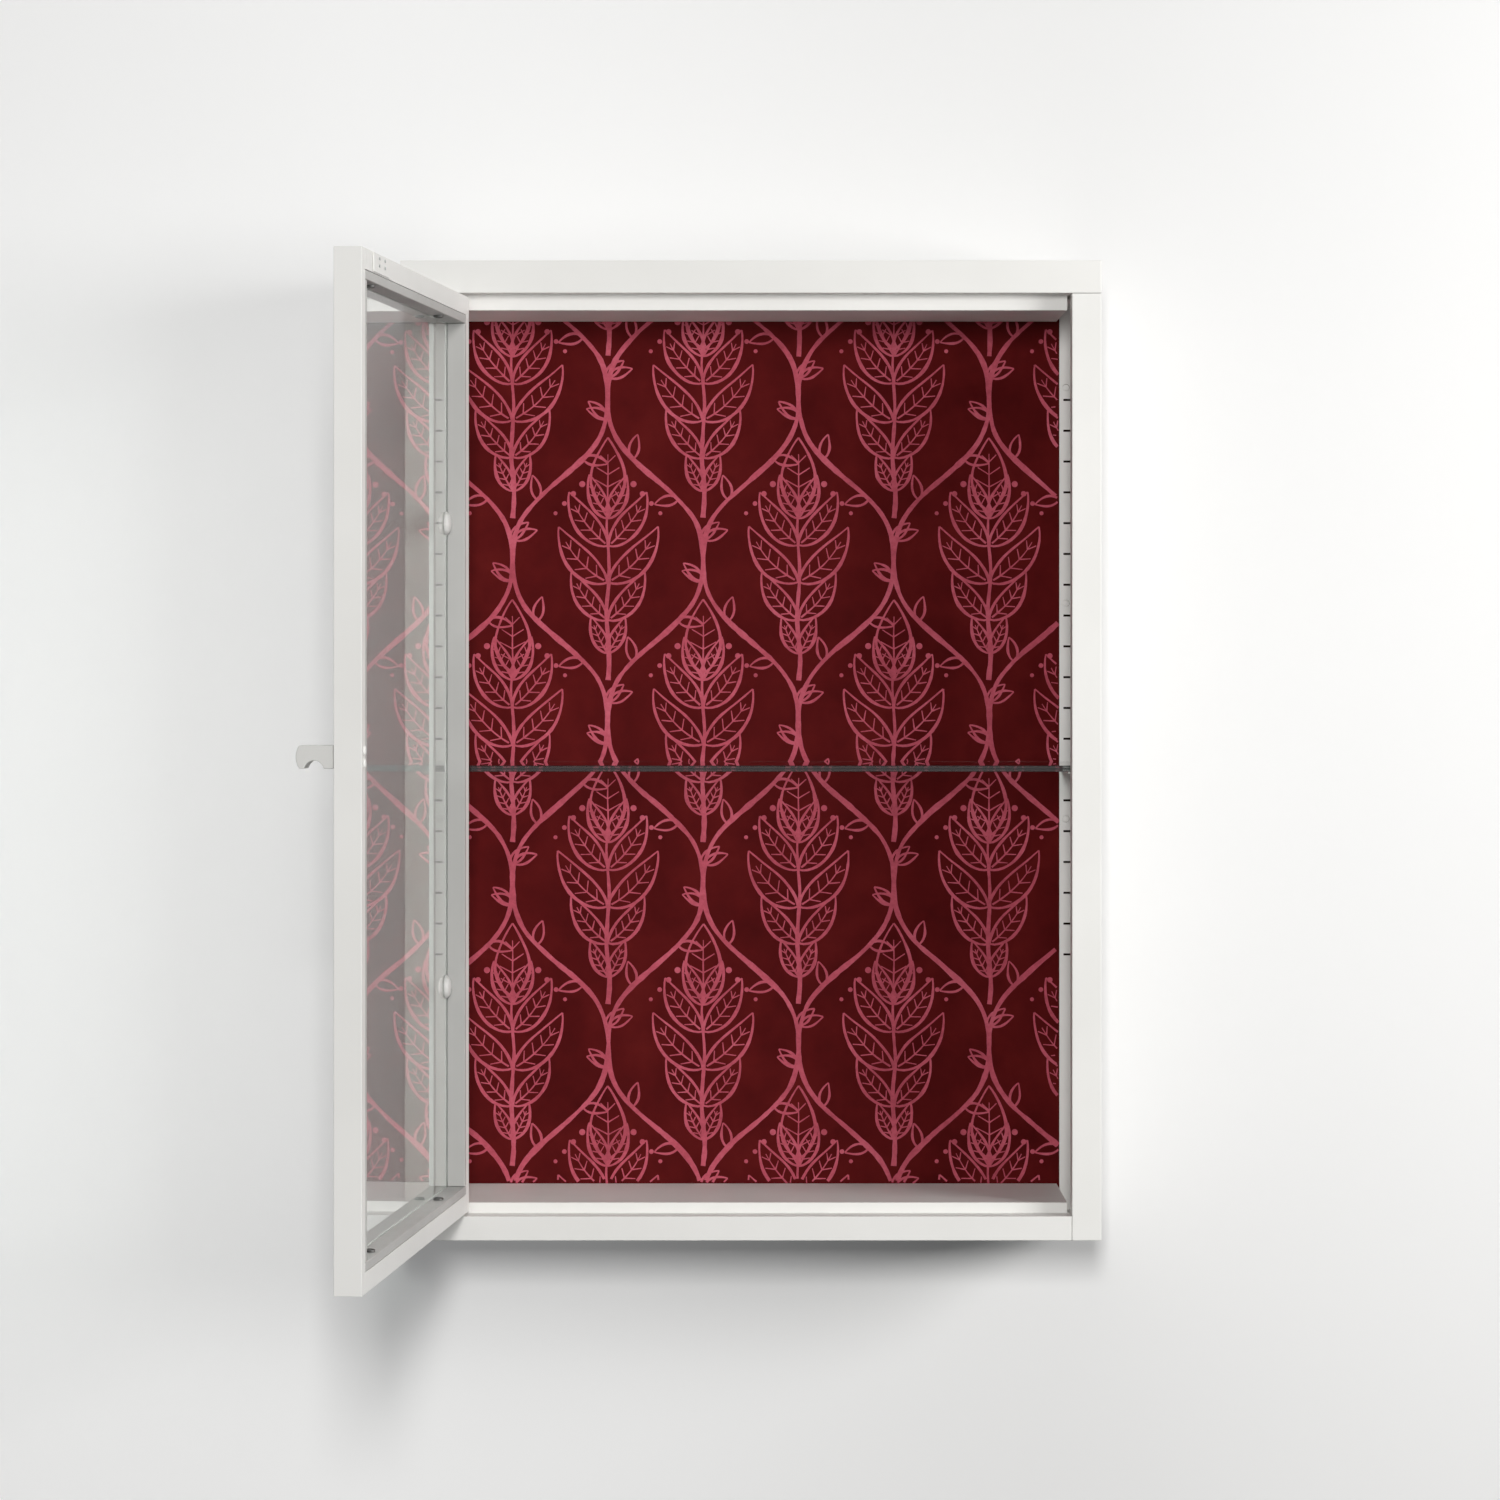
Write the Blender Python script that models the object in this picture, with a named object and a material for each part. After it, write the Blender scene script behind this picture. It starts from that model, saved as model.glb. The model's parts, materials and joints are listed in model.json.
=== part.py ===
# Wall mounted showcase: folded steel carcass, printed back board, glass shelf and a pivoted glass door.
# X runs to the right, Y into the wall, Z up. The origin is the middle of the back board's rear face.
import bpy
import bmesh
import math
from mathutils import Matrix, Vector

# Carcass, metres
CABINET_WIDTH = 0.565
CABINET_HEIGHT = 0.790
CABINET_DEPTH = 0.168
SHEET = 0.0015
EDGE_ROUND = 0.0006
BEND_SHARE = 0.35
FIT = 0.0003
BACK_THICKNESS = 0.006
WALL_SETBACK = 0.0005
FLANGE = 0.0236
FRONT_RETURN = 0.020
TOP_FRONT = 0.0262
TOP_LIP = 0.0125
BOTTOM_FRONT = 0.0195
BOTTOM_LIP = 0.0084
LIP_END_GAP = 0.0022
TAB_RECESS = 0.003

# Slots for the shelf brackets, and the screw holes between them, a share of the slot pitch above a slot
SLOT_COUNT = 19
SLOT_PITCH = 0.02585
SLOT_LENGTH = 0.012
SLOT_MARGIN = 0.0034
FIRST_SLOT = 0.2905
BACK_SCREW_COUNT = 3
BACK_SCREW_STEP = 7
BACK_SCREW_RISE = 0.4
BACK_SCREW_MARGIN = 0.0056
BACK_SCREW_RADIUS = 0.0027
BACK_SCREW_HEAD_RADIUS = 0.0048
BACK_SCREW_HEAD = 0.0026
BACK_SCREW_SINK = 0.0004
BACK_SCREW_TIP = 0.0011

# Keyholes that hang the cabinet, hidden behind the top box
KEYHOLE_SPACING = 0.400
KEYHOLE_DROP = 0.024
KEYHOLE_RADIUS = 0.005
KEYHOLE_SLOT = 0.005
KEYHOLE_RISE = 0.012

# Screws
SCREW_RADIUS = 0.0017
SCREW_HEAD_RADIUS = 0.004
SCREW_HEAD = 0.0022
SCREW_RIM_SHARE = 0.55
SCREW_CROWN_SHARE = 0.75
SCREW_BITE = 0.0045
SCREW_SIDES = 16
CARCASS_SCREW_FRONT = 0.045
CARCASS_SCREW_REAR = 0.035

# Shelf
SHELF_THICKNESS = 0.005
SHELF_SLOT = 12
SHELF_SETBACK = 0.028
SHELF_SIDE_GAP = 0.006
BRACKET_SHEET = 0.0012
BRACKET_DROP = 0.020
BRACKET_NOSE = 0.008
BRACKET_LENGTH = 0.100
BRACKET_MARGIN = 0.0006
BRACKET_WIDTH = 0.0168
HOOK_SIDE_GAP = 0.001
PAD_THICKNESS = 0.0006
PAD_RADIUS = 0.004
PAD_INSET = 0.012

# Door
DOOR_GAP = 0.0027
DOOR_DEPTH = 0.020
DOOR_SHEET = 0.0012
BAR_FACE = 0.015
BEAD_FACE = 0.007
GLASS_THICKNESS = 0.004
GLASS_EDGE_GAP = 0.001
DOOR_OPEN_ANGLE = 95.1

# Pivot
PIVOT_DEPTH = 0.0045
PIN_RADIUS = 0.0018
PIN_HEAD_RADIUS = 0.0026
PIN_HEAD = 0.002
BUSH_WALL = 0.0006
BUSH_LENGTH = 0.012
BUSH_SIDE_GAP = 0.0007
SWING_GAP = 0.00044
PIN_END_GAP = 0.002
WASHER_RADIUS = 0.0042
PIVOT_SIDES = 24

# Door fittings
BEAD_SCREW_HINGE = 0.115
BEAD_SCREW_LEADING = 0.075
BEAD_SCREW_BITE = 0.0018
BUTTON_RADIUS = 0.0093
BUTTON_RIM = 0.0033
BUTTON_HEIGHT = 0.0095
BUTTON_BEAD_GAP = 0.0012
BUTTON_SPACING = 0.372
BUTTON_SIDES = 32
BUTTON_RINGS = 5
HANDLE_REACH = 0.027
HANDLE_HEIGHT = 0.0164
HANDLE_WIDTH = 0.020
HANDLE_EDGE_INSET = 0.0006
HANDLE_RISE = 0.010
HANDLE_NOSE = 0.0025
NOTCH_START = 0.007
NOTCH_WIDTH = 0.014
NOTCH_DEPTH = 0.0057
HANDLE_ARC_STEPS = 12
HANDLE_SCREW_PITCH = 0.009
HANDLE_SCREW_BITE = 0.005
HANDLE_SCREW_HEAD_RADIUS = 0.0034
HANDLE_SCREW_HEAD = 0.0016
PLATE_EDGE = 0.046
PLATE_LENGTH = 0.068
PLATE_THICKNESS = 0.0008
PLATE_MARGIN = 0.0007
PLATE_SCREW_FIRST = 0.022
PLATE_SCREW_PITCH_X = 0.024
PLATE_SCREW_PITCH_Z = 0.0053
PLATE_SCREW_RADIUS = 0.0008
PLATE_SCREW_HEAD_RADIUS = 0.0013
PLATE_SCREW_HEAD = 0.0006
MAGNET_THICKNESS = 0.005
MAGNET_SCREW_GAP = 0.001
MAGNET_MARGIN = 0.004

# How far a cut runs past an open side
OVERSHOOT = 0.004

# Mesh making: angles in degrees, a distance within which points are one, and a share of a hole's facet
SHARP_ANGLE = 35
ROUND_ANGLE = 40
ROUND_STEPS = 2
WELD = 0.00001
DRILL_TWIST = 0.23

# Places worked out from the sizes above
half_width = CABINET_WIDTH / 2
top = CABINET_HEIGHT / 2
bottom = -top
front = -CABINET_DEPTH
back_face = -BACK_THICKNESS
panel_rear = back_face - FIT
flange_front = panel_rear - SHEET
opening_half = half_width - FLANGE
bush_bore = PIN_RADIUS + FIT
bush_radius = bush_bore + BUSH_WALL
pivot_edge = BAR_FACE - bush_radius - BUSH_SIDE_GAP
rebate = PIVOT_DEPTH + math.hypot(pivot_edge, DOOR_DEPTH - PIVOT_DEPTH) + SWING_GAP
lip_half = opening_half - LIP_END_GAP
inner_wall = half_width - SHEET
seam = top - TOP_FRONT
ceiling = seam - TOP_LIP
ledge = bottom + BOTTOM_FRONT
floor = ledge + BOTTOM_LIP
side_top = seam - FIT
side_tab = bottom + TAB_RECESS
floor_tab = side_tab + SHEET + FIT
carcass_screw_x = half_width - FLANGE / 2
carcass_screw_ys = {"front": front + CARCASS_SCREW_FRONT, "rear": flange_front - CARCASS_SCREW_REAR}

shelf_slot_z = FIRST_SLOT - SHELF_SLOT * SLOT_PITCH
arm_top = shelf_slot_z + BRACKET_SHEET / 2
arm_bottom = shelf_slot_z - BRACKET_SHEET / 2
shelf_bottom = arm_top + FIT + PAD_THICKNESS + FIT
plate_rear = flange_front - FIT
bracket_inner = opening_half + BRACKET_MARGIN
bracket_outer = bracket_inner + BRACKET_WIDTH

door_width = 2 * (opening_half - DOOR_GAP)
door_top = (seam - ledge) / 2 - DOOR_GAP
door_middle = (seam + ledge) / 2
hinge_edge = -pivot_edge
leading_edge = hinge_edge + door_width
outer_face = -PIVOT_DEPTH
inner_face = outer_face + DOOR_DEPTH
glass_outer = outer_face + DOOR_SHEET + FIT
glass_inner = glass_outer + GLASS_THICKNESS
bead_outer = glass_inner + FIT
pivot_place = Vector((-(opening_half - DOOR_GAP - pivot_edge), front + PIVOT_DEPTH, door_middle))

for old in list(bpy.data.objects):
    bpy.data.objects.remove(old, do_unlink=True)


def make_material(name, colour, roughness, metallic=0.0, alpha=1.0):
    material = bpy.data.materials.new(name)
    material.use_nodes = True
    shader = material.node_tree.nodes["Principled BSDF"]
    shader.inputs["Base Color"].default_value = (*colour, 1.0)
    shader.inputs["Roughness"].default_value = roughness
    shader.inputs["Metallic"].default_value = metallic
    shader.inputs["Alpha"].default_value = alpha
    return material


white_steel = make_material("white_steel", (0.80, 0.80, 0.77), 0.45)
clear_glass = make_material("clear_glass", (0.80, 0.86, 0.84), 0.03, alpha=0.35)
red_board = make_material("red_board", (0.10, 0.006, 0.008), 0.6)
zinc_steel = make_material("zinc_steel", (0.55, 0.55, 0.54), 0.35, metallic=1.0)
dark_steel = make_material("dark_steel", (0.05, 0.045, 0.045), 0.5, metallic=1.0)
clear_rubber = make_material("clear_rubber", (0.62, 0.62, 0.60), 0.4)
bush_plastic = make_material("bush_plastic", (0.70, 0.69, 0.65), 0.5)
magnet_ferrite = make_material("magnet_ferrite", (0.04, 0.04, 0.04), 0.7)


holes = {}


def add_object(name, bm, material, parent=None, place=(0, 0, 0), smooth=False):
    mesh = bpy.data.meshes.new(name)
    bm.to_mesh(mesh)
    bm.free()
    if smooth:
        mesh.shade_smooth()
        mesh.set_sharp_from_angle(angle=math.radians(SHARP_ANGLE))
    mesh.materials.append(material)
    obj = bpy.data.objects.new(name, mesh)
    bpy.context.scene.collection.objects.link(obj)
    obj.parent = parent
    obj.location = place
    return obj


def add_box(bm, low, high):
    # Corners are set from the limits themselves, so that boxes that share a plane share it exactly.
    xs, ys, zs = [sorted(pair) for pair in zip(low, high)]
    corners = [bm.verts.new((x, y, z)) for x in xs for y in ys for z in zs]
    for face in ((0, 1, 3, 2), (4, 6, 7, 5), (0, 4, 5, 1), (2, 3, 7, 6), (0, 2, 6, 4), (1, 5, 7, 3)):
        bm.faces.new([corners[index] for index in face])


def box_mesh(*boxes):
    bm = bmesh.new()
    for low, high in boxes:
        add_box(bm, low, high)
    return bm


def turn_towards(direction):
    return Vector((0, 0, 1)).rotation_difference(Vector(direction)).to_matrix().to_4x4()


def turned_mesh(profile, sides, direction=(0, 0, 1), ring=False, twist=0.0):
    # The profile holds radius and height pairs, turned about Z and then laid along the direction.
    bm = bmesh.new()
    points = [bm.verts.new((radius, 0, height)) for radius, height in profile]
    ends = points[1:] + points[:1] if ring else points[1:]
    lines = [bm.edges.new(pair) for pair in zip(points, ends)]
    bmesh.ops.spin(bm, geom=points + lines, cent=(0, 0, 0), axis=(0, 0, 1),
                   angle=math.tau, steps=sides, use_merge=True)
    bmesh.ops.remove_doubles(bm, verts=bm.verts, dist=WELD)
    bmesh.ops.recalc_face_normals(bm, faces=bm.faces)
    bm.transform(turn_towards(direction) @ Matrix.Rotation(twist, 4, "Z"))
    return bm


def rod_mesh(radius, low, high, sides, direction=(0, 0, 1)):
    return turned_mesh([(0, high), (radius, high), (radius, low), (0, low)], sides, direction)


def boolean(obj, bm, operation, label, place=(0, 0, 0)):
    tool = add_object(f"{obj.name}.{label}", bm, obj.data.materials[0], obj.parent, place)
    tool.hide_render = True
    tool.display_type = "WIRE"
    modifier = obj.modifiers.new(label, "BOOLEAN")
    modifier.operation = operation
    modifier.object = tool


def round_edges(obj, width):
    modifier = obj.modifiers.new("edges", "BEVEL")
    modifier.width = width
    modifier.segments = ROUND_STEPS
    modifier.limit_method = "ANGLE"
    modifier.angle_limit = math.radians(ROUND_ANGLE)


def folded_sheet(name, sheet, solids, hollows, parent=None):
    # Solid boxes are joined, their bends are rounded within the sheet, and hollow boxes are taken out.
    obj = add_object(name, box_mesh(solids[0]), white_steel, parent)
    for index, solid in enumerate(solids[1:]):
        boolean(obj, box_mesh(solid), "UNION", f"fold{index}")
    round_edges(obj, min(EDGE_ROUND, sheet * BEND_SHARE))
    for index, hollow in enumerate(hollows):
        boolean(obj, box_mesh(hollow), "DIFFERENCE", f"hollow{index}")
    return obj


def bore(obj, profile, start, direction=(0, 0, 1), sides=SCREW_SIDES):
    # Holes are kept here until every piece is made. The twist keeps the corners of a row from lining up.
    cutter = turned_mesh(profile, sides, direction, twist=math.tau / sides * DRILL_TWIST)
    bmesh.ops.translate(cutter, verts=cutter.verts, vec=start)
    bmesh.ops.triangulate(cutter, faces=cutter.faces)
    holes.setdefault(obj, []).append(cutter)


def drill(obj, radius, start, length, direction=(0, 0, 1), sides=SCREW_SIDES):
    bore(obj, [(0, length), (radius, length), (radius, 0), (0, 0)], start, direction, sides)


def joined_mesh(parts):
    whole = bmesh.new()
    for bm in parts:
        mesh = bpy.data.meshes.new("joined")
        bm.to_mesh(mesh)
        bm.free()
        whole.from_mesh(mesh)
        bpy.data.meshes.remove(mesh)
    return whole


def screw(name, place, direction, length, material, parent=None, sizes=None):
    # The place is the seat of the head, and the direction points from the head to the tip.
    radius, head_radius, head = sizes or (SCREW_RADIUS, SCREW_HEAD_RADIUS, SCREW_HEAD)
    profile = [(0, length), (radius, length), (radius, 0), (head_radius, 0),
               (head_radius, -head * SCREW_RIM_SHARE), (head_radius * SCREW_CROWN_SHARE, -head), (0, -head)]
    bm = turned_mesh(profile, SCREW_SIDES, direction)
    return add_object(name, bm, material, parent, place, smooth=True)


# Top box: full width, with a soffit that drops behind the door
top_panel = folded_sheet(
    "top_panel", SHEET,
    [((-half_width, front, seam), (half_width, -WALL_SETBACK, top)),
     ((-lip_half, front + rebate, ceiling), (lip_half, panel_rear, seam + SHEET))],
    [((-inner_wall, front + SHEET, seam + SHEET), (inner_wall, OVERSHOOT, top - SHEET)),
     ((-lip_half + SHEET, front + rebate + SHEET, ceiling + SHEET),
      (lip_half - SHEET, OVERSHOOT, seam + SHEET + OVERSHOOT)),
     ((-inner_wall, panel_rear, seam - OVERSHOOT), (inner_wall, OVERSHOOT, top - SHEET))])

# Bottom box: between the sides, with the floor, a lip, and tabs that sit on the sides' own tabs
bottom_half = opening_half - FIT
bottom_panel = folded_sheet(
    "bottom_panel", SHEET,
    [((-bottom_half, front, bottom), (bottom_half, -WALL_SETBACK, ledge)),
     ((-lip_half, front + rebate, bottom + SHEET), (lip_half, panel_rear, floor)),
     ((-inner_wall + FIT, front + FRONT_RETURN + FIT, floor_tab),
      (inner_wall - FIT, flange_front - FIT, floor_tab + SHEET))],
    [((-bottom_half + SHEET, front + SHEET, bottom + SHEET),
      (bottom_half - SHEET, OVERSHOOT, ledge - SHEET)),
     ((-lip_half + SHEET, front + rebate + SHEET, bottom + SHEET),
      (lip_half - SHEET, OVERSHOOT, floor - SHEET)),
     ((-half_width, panel_rear, bottom + SHEET), (half_width, OVERSHOOT, floor + OVERSHOOT))])


def slot_z(index):
    return FIRST_SLOT - index * SLOT_PITCH


back_screw_zs = [slot_z(BACK_SCREW_STEP * row - BACK_SCREW_RISE) for row in range(BACK_SCREW_COUNT)]


def side_panel(name, side):
    # A channel that is open towards the inside, with a tab at each end and slots up its rear flange.
    inside = side * (opening_half + SHEET)
    past_inside = side * (opening_half - OVERSHOOT)
    wall = side * inner_wall
    obj = folded_sheet(
        name, SHEET,
        [((side * opening_half, front, bottom), (side * half_width, -WALL_SETBACK, side_top))],
        [((inside, front + SHEET, side_tab + SHEET), (wall, flange_front, side_top - SHEET)),
         ((past_inside, front + FRONT_RETURN, side_tab + SHEET), (wall, flange_front, side_top - SHEET)),
         ((inside, front + SHEET, bottom - OVERSHOOT), (wall, flange_front, side_tab)),
         ((past_inside, panel_rear, bottom - OVERSHOOT), (wall, OVERSHOOT, side_top + OVERSHOOT))])
    slot_low = side * (opening_half + SLOT_MARGIN)
    slot_high = side * (opening_half + SLOT_MARGIN + SLOT_LENGTH)
    slot_half = BRACKET_SHEET / 2 + FIT
    slots = [((slot_low, flange_front - OVERSHOOT, slot_z(index) - slot_half),
              (slot_high, back_face, slot_z(index) + slot_half)) for index in range(SLOT_COUNT)]
    boolean(obj, box_mesh(*slots), "DIFFERENCE", "slots")
    hole_x = side * (opening_half + BACK_SCREW_MARGIN)
    for height in back_screw_zs:
        drill(obj, BACK_SCREW_RADIUS + FIT, (hole_x, flange_front - OVERSHOOT, height),
              2 * OVERSHOOT, (0, 1, 0))
    for end, y in carcass_screw_ys.items():
        screw_x = side * carcass_screw_x
        drill(obj, SCREW_RADIUS + FIT, (screw_x, y, side_top - SHEET - FIT), OVERSHOOT)
        drill(obj, SCREW_RADIUS + FIT, (screw_x, y, side_tab - FIT), SHEET + 2 * FIT)
    return obj


sides = {"left": -1, "right": 1}
for label, side in sides.items():
    side_panel(f"{label}_side_panel", side)

# Back board, with its keyholes, and the screws that come through it from behind into the rear flanges
back_panel = add_object("back_panel", box_mesh((
    (-inner_wall + FIT, back_face, bottom + SHEET + FIT),
    (inner_wall - FIT, 0, top - SHEET - FIT))), red_board)
back_screw_sizes = (BACK_SCREW_RADIUS, BACK_SCREW_HEAD_RADIUS, BACK_SCREW_HEAD)
back_screw_seat = BACK_SCREW_SINK + BACK_SCREW_HEAD
back_screw_length = -flange_front - BACK_SCREW_TIP - back_screw_seat
back_screw_bore = [(0, BACK_THICKNESS), (BACK_SCREW_RADIUS + FIT, BACK_THICKNESS),
                   (BACK_SCREW_RADIUS + FIT, FIT), (BACK_SCREW_HEAD_RADIUS + FIT, FIT),
                   (BACK_SCREW_HEAD_RADIUS + FIT, -BACK_THICKNESS), (0, -BACK_THICKNESS)]
for label, side in sides.items():
    keyhole = Vector((side * KEYHOLE_SPACING / 2, back_face - OVERSHOOT, top - KEYHOLE_DROP))
    depth = BACK_THICKNESS + 2 * OVERSHOOT
    drill(back_panel, KEYHOLE_RADIUS, keyhole, depth, (0, 1, 0))
    slot_box = ((keyhole.x - KEYHOLE_SLOT / 2, keyhole.y, keyhole.z),
                (keyhole.x + KEYHOLE_SLOT / 2, keyhole.y + depth, keyhole.z + KEYHOLE_RISE))
    boolean(back_panel, box_mesh(slot_box), "DIFFERENCE", f"keyslot_{label}")
    for row, height in enumerate(back_screw_zs):
        seat = Vector((side * (opening_half + BACK_SCREW_MARGIN), -back_screw_seat, height))
        bore(back_panel, back_screw_bore, seat, (0, -1, 0))
        screw(f"back_panel_screw_{label}_{row + 1}", seat, (0, -1, 0), back_screw_length, white_steel,
              sizes=back_screw_sizes)
    for end, y in carcass_screw_ys.items():
        x = side * carcass_screw_x
        top_seat = (x, y, seam + SHEET + FIT)
        top_length = SHEET + FIT + FIT + SHEET + SCREW_BITE
        drill(top_panel, SCREW_RADIUS + FIT, (x, y, seam - FIT), SHEET + 2 * FIT)
        screw(f"top_screw_{label}_{end}", top_seat, (0, 0, -1), top_length, zinc_steel)
        bottom_seat = (x, y, side_tab - FIT)
        drill(bottom_panel, SCREW_RADIUS + FIT, (x, y, floor_tab - FIT),
              SHEET + 2 * FIT)
        screw(f"bottom_screw_{label}_{end}", bottom_seat, (0, 0, 1), top_length, zinc_steel)

# Shelf on its two brackets
shelf_front = front + SHELF_SETBACK
shelf_half = inner_wall - SHELF_SIDE_GAP
shelf = add_object("glass_shelf", box_mesh((
    (-shelf_half, shelf_front, shelf_bottom),
    (shelf_half, flange_front - FIT, shelf_bottom + SHELF_THICKNESS))), clear_glass)
round_edges(shelf, EDGE_ROUND)


def shelf_bracket(label, side):
    near = side * bracket_inner
    far = side * bracket_outer
    nose_y = plate_rear - BRACKET_LENGTH
    obj = add_object(f"{label}_shelf_bracket", box_mesh((
        (near, nose_y, arm_bottom), (far, plate_rear, arm_top))), white_steel)
    back_plate = ((near, plate_rear - BRACKET_SHEET, arm_bottom - BRACKET_DROP), (far, plate_rear, arm_top))
    boolean(obj, box_mesh(back_plate), "UNION", "back_plate")
    web = bmesh.new()
    outline = [(nose_y, arm_top), (nose_y, arm_bottom - BRACKET_NOSE),
               (plate_rear, arm_bottom - BRACKET_DROP), (plate_rear, arm_top)]
    web_face = web.faces.new([web.verts.new((far, y, z)) for y, z in outline])
    grown = bmesh.ops.extrude_face_region(web, geom=[web_face])
    grown_verts = [item for item in grown["geom"] if isinstance(item, bmesh.types.BMVert)]
    bmesh.ops.translate(web, verts=grown_verts, vec=(-side * BRACKET_SHEET, 0, 0))
    bmesh.ops.recalc_face_normals(web, faces=web.faces)
    boolean(obj, web, "UNION", "web")
    hook_low = side * (opening_half + SLOT_MARGIN + HOOK_SIDE_GAP)
    hook_high = side * (opening_half + SLOT_MARGIN + SLOT_LENGTH - HOOK_SIDE_GAP)
    hook = ((hook_low, plate_rear - BRACKET_SHEET, arm_bottom), (hook_high, panel_rear - FIT / 2, arm_top))
    boolean(obj, box_mesh(hook), "UNION", "hook")
    pad_x = (near + far - side * BRACKET_SHEET) / 2
    pad_ys = {"front": nose_y + PAD_INSET, "rear": plate_rear - PAD_INSET}
    for end, y in pad_ys.items():
        pad = rod_mesh(PAD_RADIUS, 0, PAD_THICKNESS, SCREW_SIDES)
        add_object(f"shelf_pad_{label}_{end}", pad, clear_rubber, None, (pad_x, y, arm_top + FIT),
                   smooth=True)


for label, side in sides.items():
    shelf_bracket(label, side)

# Pivot pins, fixed in the top and bottom boxes
pin_reach = DOOR_GAP + BUSH_LENGTH - PIN_END_GAP
pin_profile = [(0, SHEET + FIT + pin_reach), (PIN_RADIUS, SHEET + FIT + pin_reach), (PIN_RADIUS, 0),
               (PIN_HEAD_RADIUS, 0), (PIN_HEAD_RADIUS, -PIN_HEAD), (0, -PIN_HEAD)]
pin_top_seat = (pivot_place.x, pivot_place.y, seam + SHEET + FIT)
pin_bottom_seat = (pivot_place.x, pivot_place.y, ledge - SHEET - FIT)
add_object("pivot_pin_top", turned_mesh(pin_profile, PIVOT_SIDES, (0, 0, -1)), zinc_steel, None,
           pin_top_seat, smooth=True)
add_object("pivot_pin_bottom", turned_mesh(pin_profile, PIVOT_SIDES), zinc_steel, None,
           pin_bottom_seat, smooth=True)
drill(top_panel, bush_bore, (pivot_place.x, pivot_place.y, seam - FIT), SHEET + 2 * FIT,
      sides=PIVOT_SIDES)
drill(bottom_panel, bush_bore, pin_bottom_seat, SHEET + 2 * FIT, sides=PIVOT_SIDES)
washer_height = DOOR_GAP - 2 * FIT
washer_profile = [(bush_bore, washer_height), (WASHER_RADIUS, washer_height),
                  (WASHER_RADIUS, 0), (bush_bore, 0)]
add_object("pivot_washer", turned_mesh(washer_profile, PIVOT_SIDES, ring=True), bush_plastic, None,
           (pivot_place.x, pivot_place.y, ledge + FIT), smooth=True)

# The door hangs on an empty at its pivot, turned to the pose in which it stands open
door = bpy.data.objects.new("door_pivot", None)
bpy.context.scene.collection.objects.link(door)
door.location = pivot_place
door.rotation_euler = (0, 0, -math.radians(DOOR_OPEN_ANGLE))


def door_stile(name, edge, inward):
    bar_end = edge + inward * BAR_FACE
    hollow_low = edge + inward * DOOR_SHEET
    hollow_high = bar_end - inward * DOOR_SHEET
    lip_top = door_top - BAR_FACE - FIT
    hollows = [((hollow_low, outer_face + DOOR_SHEET, -door_top + DOOR_SHEET),
                (hollow_high, inner_face - DOOR_SHEET, door_top - DOOR_SHEET))]
    for end in (-1, 1):
        mouth_low = (hollow_high - inward * DOOR_SHEET, outer_face + DOOR_SHEET,
                     end * (door_top - DOOR_SHEET))
        mouth_high = (bar_end + inward * OVERSHOOT, inner_face - DOOR_SHEET,
                      end * (door_top - BAR_FACE + DOOR_SHEET))
        hollows.append((mouth_low, mouth_high))
    return folded_sheet(
        name, DOOR_SHEET,
        [((edge, outer_face, -door_top), (bar_end, inner_face, door_top)),
         ((edge, outer_face, -lip_top), (bar_end + inward * BEAD_FACE, outer_face + DOOR_SHEET, lip_top))],
        hollows, door)


def door_rail(name, end):
    bar_end = end * (door_top - BAR_FACE)
    rail_low = hinge_edge + BAR_FACE + FIT
    rail_high = leading_edge - BAR_FACE - FIT
    return folded_sheet(
        name, DOOR_SHEET,
        [((rail_low, outer_face, end * door_top), (rail_high, inner_face, bar_end)),
         ((rail_low + BEAD_FACE, outer_face, end * door_top),
          (rail_high - BEAD_FACE, outer_face + DOOR_SHEET, bar_end - end * BEAD_FACE))],
        [((rail_low - OVERSHOOT, outer_face + DOOR_SHEET, end * (door_top - DOOR_SHEET)),
          (rail_high + OVERSHOOT, inner_face - DOOR_SHEET, bar_end + end * DOOR_SHEET))],
        door)


hinge_stile = door_stile("door_hinge_stile", hinge_edge, 1)
leading_stile = door_stile("door_leading_stile", leading_edge, -1)
rails = {"top": door_rail("door_top_rail", 1), "bottom": door_rail("door_bottom_rail", -1)}

# Glass, and the beads that hold it
glass_half = door_top - BAR_FACE - GLASS_EDGE_GAP
glass = add_object("door_glass", box_mesh((
    (hinge_edge + BAR_FACE + GLASS_EDGE_GAP, glass_outer, -glass_half),
    (leading_edge - BAR_FACE - GLASS_EDGE_GAP, glass_inner, glass_half))), clear_glass, door)

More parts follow.
